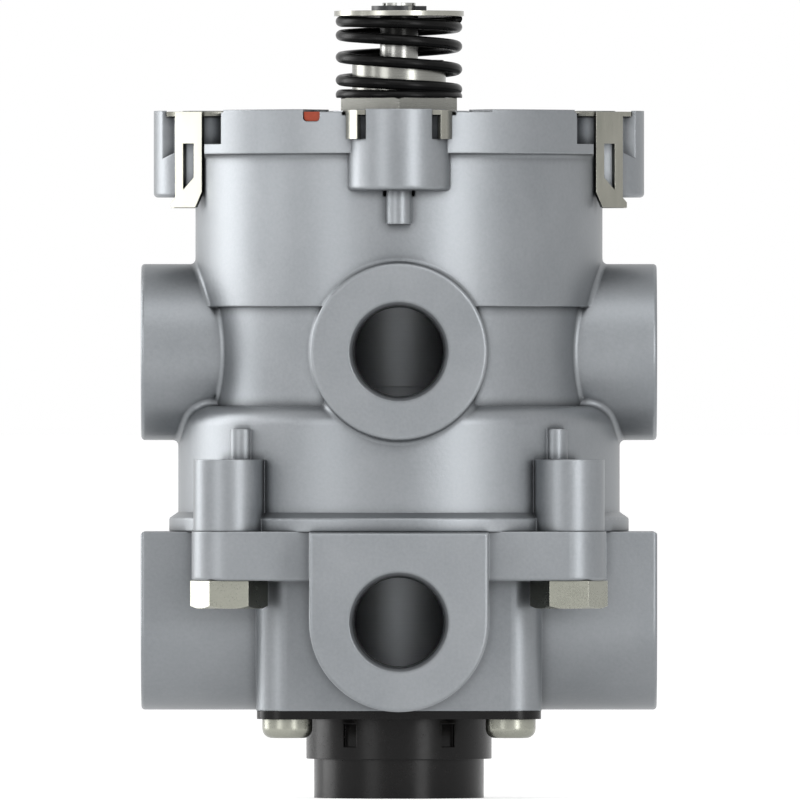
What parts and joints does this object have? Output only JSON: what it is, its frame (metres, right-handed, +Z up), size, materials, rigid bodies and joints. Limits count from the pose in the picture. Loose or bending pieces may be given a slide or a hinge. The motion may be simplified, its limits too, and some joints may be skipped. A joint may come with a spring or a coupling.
{
  "type": "brake valve",
  "caption": "Dual-circuit pneumatic foot brake valve with flange mount, sprung plunger, delivery and supply ports, and a black exhaust neck below.",
  "frame": {"origin": "on the valve's axis, in the top plane of the mounting flange", "axes": "+Z up along the plunger, -Y out of the delivery ports, +X to the right seen from the front"},
  "size_m": [0.1, 0.0976, 0.1543],
  "materials": {
    "cast_aluminium": "satin bead-blasted casting",
    "machined_aluminium": "fine turned",
    "zinc_plate": "zinc plated",
    "polished_steel": "polished, nickel plated",
    "stem_steel": "ground",
    "black_spring_steel": "black coated, glossy",
    "black_ring_steel": "phosphated",
    "clip_steel": "zinc plated sheet",
    "inner_spring_steel": "plain spring wire",
    "black_nylon": "glossy moulded",
    "inner_plastic": "moulded",
    "black_rubber": "matt",
    "red_rubber": "matt"
  },
  "bodies": {
    "root": {"upper_housing": "cast_aluminium", "lower_housing": "cast_aluminium", "housing_seal": "black_rubber", "housing_bolts": "zinc_plate", "top_cover": "machined_aluminium", "cover_ring": "black_ring_steel", "cover_seal": "black_rubber", "guide_bush": "polished_steel", "stem_seal": "black_rubber", "return_spring": "black_spring_steel", "primary_piston_spring": "inner_spring_steel", "relay_piston_spring": "inner_spring_steel", "primary_valve_guide": "inner_plastic", "secondary_valve_guide": "inner_plastic", "primary_guide_seal": "black_rubber", "secondary_guide_seal": "black_rubber", "primary_valve_spring": "inner_spring_steel", "secondary_valve_spring": "inner_spring_steel", "guide_ring": "black_ring_steel", "exhaust_body": "black_nylon", "exhaust_flap": "black_rubber", "exhaust_screws": "zinc_plate", "front_clip": "clip_steel", "left_clip": "clip_steel", "right_clip": "clip_steel", "vent_plug": "red_rubber"},
    "plunger_body": {"plunger": "stem_steel", "spring_washer": "zinc_plate", "retaining_ring": "black_ring_steel"},
    "primary_piston_body": {"primary_piston": "machined_aluminium", "primary_piston_seal": "black_rubber", "graduating_spring": "black_rubber"},
    "primary_valve_body": {"primary_valve": "black_rubber"},
    "relay_piston_body": {"relay_piston": "machined_aluminium", "relay_piston_seal": "black_rubber", "relay_hub_seal": "black_rubber"},
    "secondary_valve_body": {"secondary_valve": "black_rubber"}
  },
  "joints": [
    {"name": "plunger_push", "type": "slide", "parent": "root", "child": "plunger_body", "axis": [0, 0, -1], "range_m": [0, 0.0045], "stiffness_N_per_m": 12000, "springref_m": -0.003, "deforming": ["return_spring", "graduating_spring"]},
    {"name": "primary_piston_slide", "type": "slide", "parent": "root", "child": "primary_piston_body", "axis": [0, 0, -1], "range_m": [0, 0.0025], "stiffness_N_per_m": 2000, "springref_m": -0.002, "deforming": ["primary_piston_spring"]},
    {"name": "primary_valve_slide", "type": "slide", "parent": "root", "child": "primary_valve_body", "axis": [0, 0, -1], "range_m": [0, 0.0016], "stiffness_N_per_m": 2000, "springref_m": -0.002, "deforming": ["primary_valve_spring"]},
    {"name": "relay_piston_slide", "type": "slide", "parent": "root", "child": "relay_piston_body", "axis": [0, 0, -1], "range_m": [0, 0.002], "stiffness_N_per_m": 2000, "springref_m": -0.002, "deforming": ["relay_piston_spring"]},
    {"name": "secondary_valve_slide", "type": "slide", "parent": "root", "child": "secondary_valve_body", "axis": [0, 0, -1], "range_m": [0, 0.0011], "stiffness_N_per_m": 2000, "springref_m": -0.002, "deforming": ["secondary_valve_spring"]}
  ],
  "couplings": [
    {"joint": "primary_piston_slide", "follows": "plunger_push", "ratio": 0.5555},
    {"joint": "primary_valve_slide", "follows": "plunger_push", "ratio": 0.3555},
    {"joint": "relay_piston_slide", "follows": "plunger_push", "ratio": 0.4443},
    {"joint": "secondary_valve_slide", "follows": "plunger_push", "ratio": 0.2443}
  ]
}
